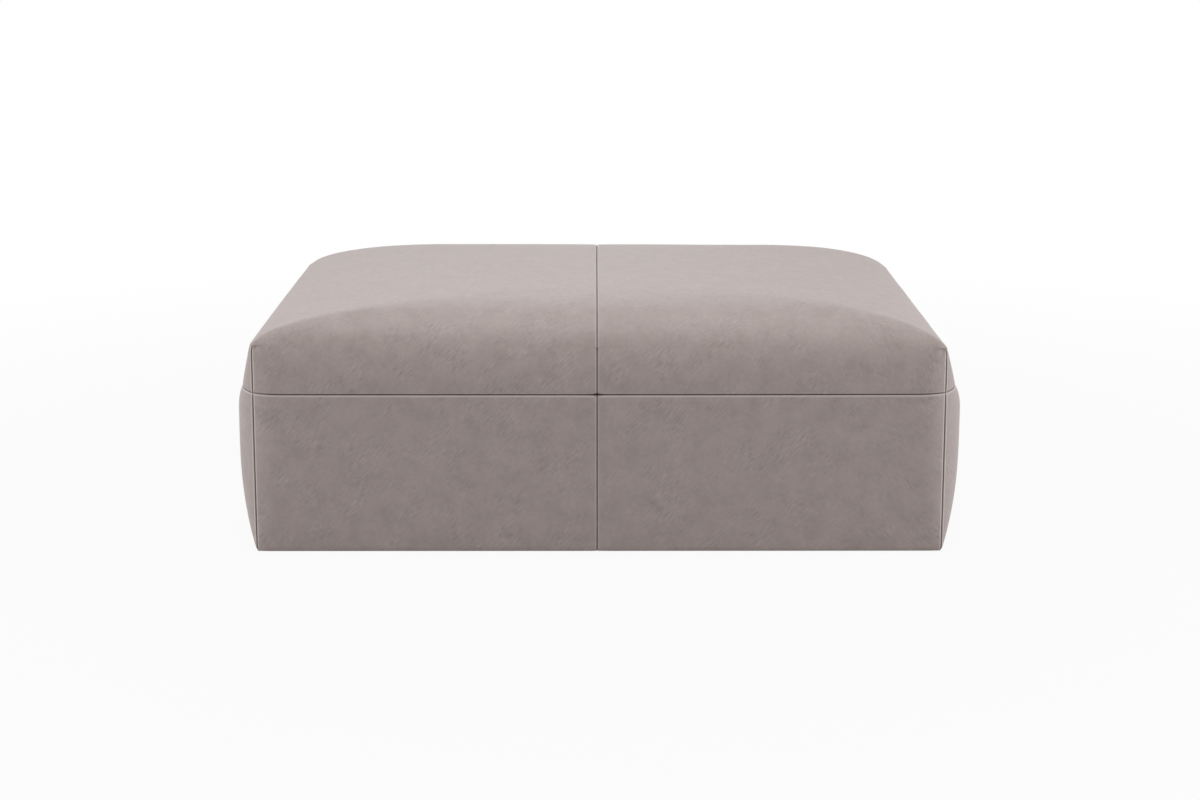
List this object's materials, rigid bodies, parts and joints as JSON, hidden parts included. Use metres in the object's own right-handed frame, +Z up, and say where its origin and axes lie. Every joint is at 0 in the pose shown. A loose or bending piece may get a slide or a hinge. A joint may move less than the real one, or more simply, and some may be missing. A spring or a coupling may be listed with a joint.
{
  "type": "footstool",
  "caption": "Low rectangular leather footstool with a softly crowned top, drawn-in corners and a boxed base over a timber frame.",
  "frame": {"origin": "on the floor under the middle of the footstool", "axes": "+X along the long side to the right as seen from the front, +Y to the back, +Z up"},
  "size_m": [1.18, 0.8, 0.3991],
  "materials": {
    "leather": "smooth aniline leather, taupe with a mauve cast, soft low sheen, cloudy mottling",
    "foam": "open-cell upholstery foam, cream",
    "wadding": "bonded polyester wadding, white",
    "felt": "needled insulator felt, grey",
    "dust_cloth": "spun-bonded dust cloth, black",
    "webbing": "woven elastic webbing, black",
    "softwood": "sawn pine, unfinished",
    "hardboard": "hardboard, smooth brown face",
    "glide_plastic": "moulded polyethylene, black"
  },
  "bodies": {
    "root": {"border_back_left": "leather", "border_back_right": "leather", "border_front_left": "leather", "border_front_right": "leather", "border_pad_back": "foam", "border_pad_front": "foam", "border_pad_left": "foam", "border_pad_right": "foam", "border_side_left": "leather", "border_side_right": "leather", "bottom_rail_back": "softwood", "bottom_rail_front": "softwood", "bottom_rail_left": "softwood", "bottom_rail_right": "softwood", "bottom_stretcher": "softwood", "corner_block_back_left": "softwood", "corner_block_back_right": "softwood", "corner_block_front_left": "softwood", "corner_block_front_right": "softwood", "dust_cover": "dust_cloth", "glide_back_left": "glide_plastic", "glide_back_right": "glide_plastic", "glide_front_left": "glide_plastic", "glide_front_right": "glide_plastic", "hardboard_back": "hardboard", "hardboard_front": "hardboard", "hardboard_left": "hardboard", "hardboard_right": "hardboard", "insulator_felt": "felt", "middle_post_back": "softwood", "middle_post_front": "softwood", "post_back_left": "softwood", "post_back_right": "softwood", "post_front_left": "softwood", "post_front_right": "softwood", "seat_foam_core": "foam", "seat_foam_slab": "foam", "seat_foam_top": "foam", "top_cover_left": "leather", "top_cover_right": "leather", "top_rail_back": "softwood", "top_rail_front": "softwood", "top_rail_left": "softwood", "top_rail_right": "softwood", "top_stretcher": "softwood", "top_wadding": "wadding", "webbing_cross_1": "webbing", "webbing_cross_2": "webbing", "webbing_cross_3": "webbing", "webbing_cross_4": "webbing", "webbing_cross_5": "webbing", "webbing_cross_6": "webbing", "webbing_cross_7": "webbing", "webbing_long_1": "webbing", "webbing_long_2": "webbing", "webbing_long_3": "webbing", "webbing_long_4": "webbing"}
  },
  "joints": []
}
